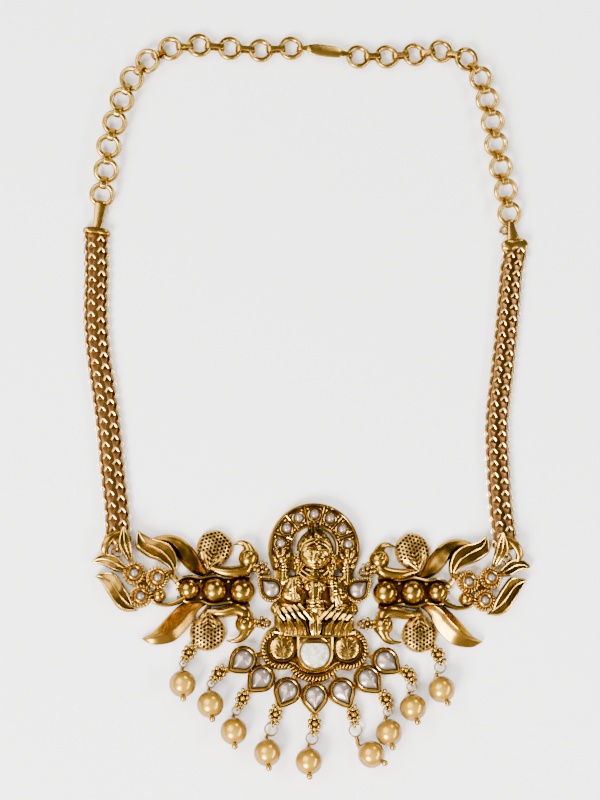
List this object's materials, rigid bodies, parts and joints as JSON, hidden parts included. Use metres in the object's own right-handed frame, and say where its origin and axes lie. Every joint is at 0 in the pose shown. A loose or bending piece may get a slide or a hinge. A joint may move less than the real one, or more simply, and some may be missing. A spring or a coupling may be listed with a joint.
{
  "type": "temple necklace",
  "caption": "Choker-style temple necklace: openwork gold plaque with a seated figure, leaf and bird wings, pearl drops, woven straps, ring chain and hook clasp.",
  "frame": {"origin": "on the plaque's flat back, on its centre line, level with the seated figure's waist", "axes": "+X across the plaque towards the side with the lowered palm, +Y from the drops towards the clasp, +Z out of the plaque's front; the necklace lies flat with its back on z = 0"},
  "size_m": [0.1098, 0.183, 0.0066],
  "materials": {
    "antique_gold": "antique gold plate, bright on raised edges and dark brown in the recesses",
    "pale_gold": "polished pale gold plate",
    "strap_gold": "antique gold plate, worn bright on the link ends",
    "wire": "drawn wire, slightly dulled",
    "white_pearl": "pearly white lacquer, grey-pink in the shade",
    "champagne_pearl": "champagne pearl lacquer"
  },
  "bodies": {
    "root": {"centre_plaque": "antique_gold", "wing_left": "antique_gold", "wing_right": "antique_gold", "wing_link_left_upper": "antique_gold", "wing_link_left_lower": "antique_gold", "wing_link_right_upper": "antique_gold", "wing_link_right_lower": "antique_gold", "halo_pearl_1": "white_pearl", "halo_pearl_2": "white_pearl", "halo_pearl_3": "white_pearl", "halo_pearl_4": "white_pearl", "halo_pearl_5": "white_pearl", "halo_pearl_6": "white_pearl", "halo_pearl_7": "white_pearl", "side_pearl_left": "white_pearl", "side_pearl_right": "white_pearl", "centre_cabochon": "white_pearl", "fan_pearl_1": "white_pearl", "fan_pearl_2": "white_pearl", "fan_pearl_3": "white_pearl", "fan_pearl_4": "white_pearl", "fan_pearl_5": "white_pearl", "fan_pearl_6": "white_pearl", "fan_pearl_7": "white_pearl", "rosette_pearls_left": "white_pearl", "rosette_pearls_right": "white_pearl", "drop_pearl_1": "champagne_pearl", "drop_pearl_2": "champagne_pearl", "drop_pearl_3": "champagne_pearl", "drop_pearl_4": "champagne_pearl", "drop_pearl_5": "champagne_pearl", "drop_pearl_6": "champagne_pearl", "drop_pearl_7": "champagne_pearl", "drop_pearl_8": "champagne_pearl", "drop_pearl_9": "champagne_pearl", "drop_pin_1": "wire", "drop_pin_2": "wire", "drop_pin_3": "wire", "drop_pin_4": "wire", "drop_pin_5": "wire", "drop_pin_6": "wire", "drop_pin_7": "wire", "drop_pin_8": "wire", "drop_pin_9": "wire", "strap_left": "strap_gold", "strap_right": "strap_gold", "strap_cap_left_top": "pale_gold", "strap_cap_right_top": "pale_gold", "strap_cap_left_bottom": "pale_gold", "strap_cap_right_bottom": "pale_gold", "ring_chain_left": "pale_gold", "ring_chain_right": "pale_gold", "clasp_hook": "pale_gold"}
  },
  "joints": []
}
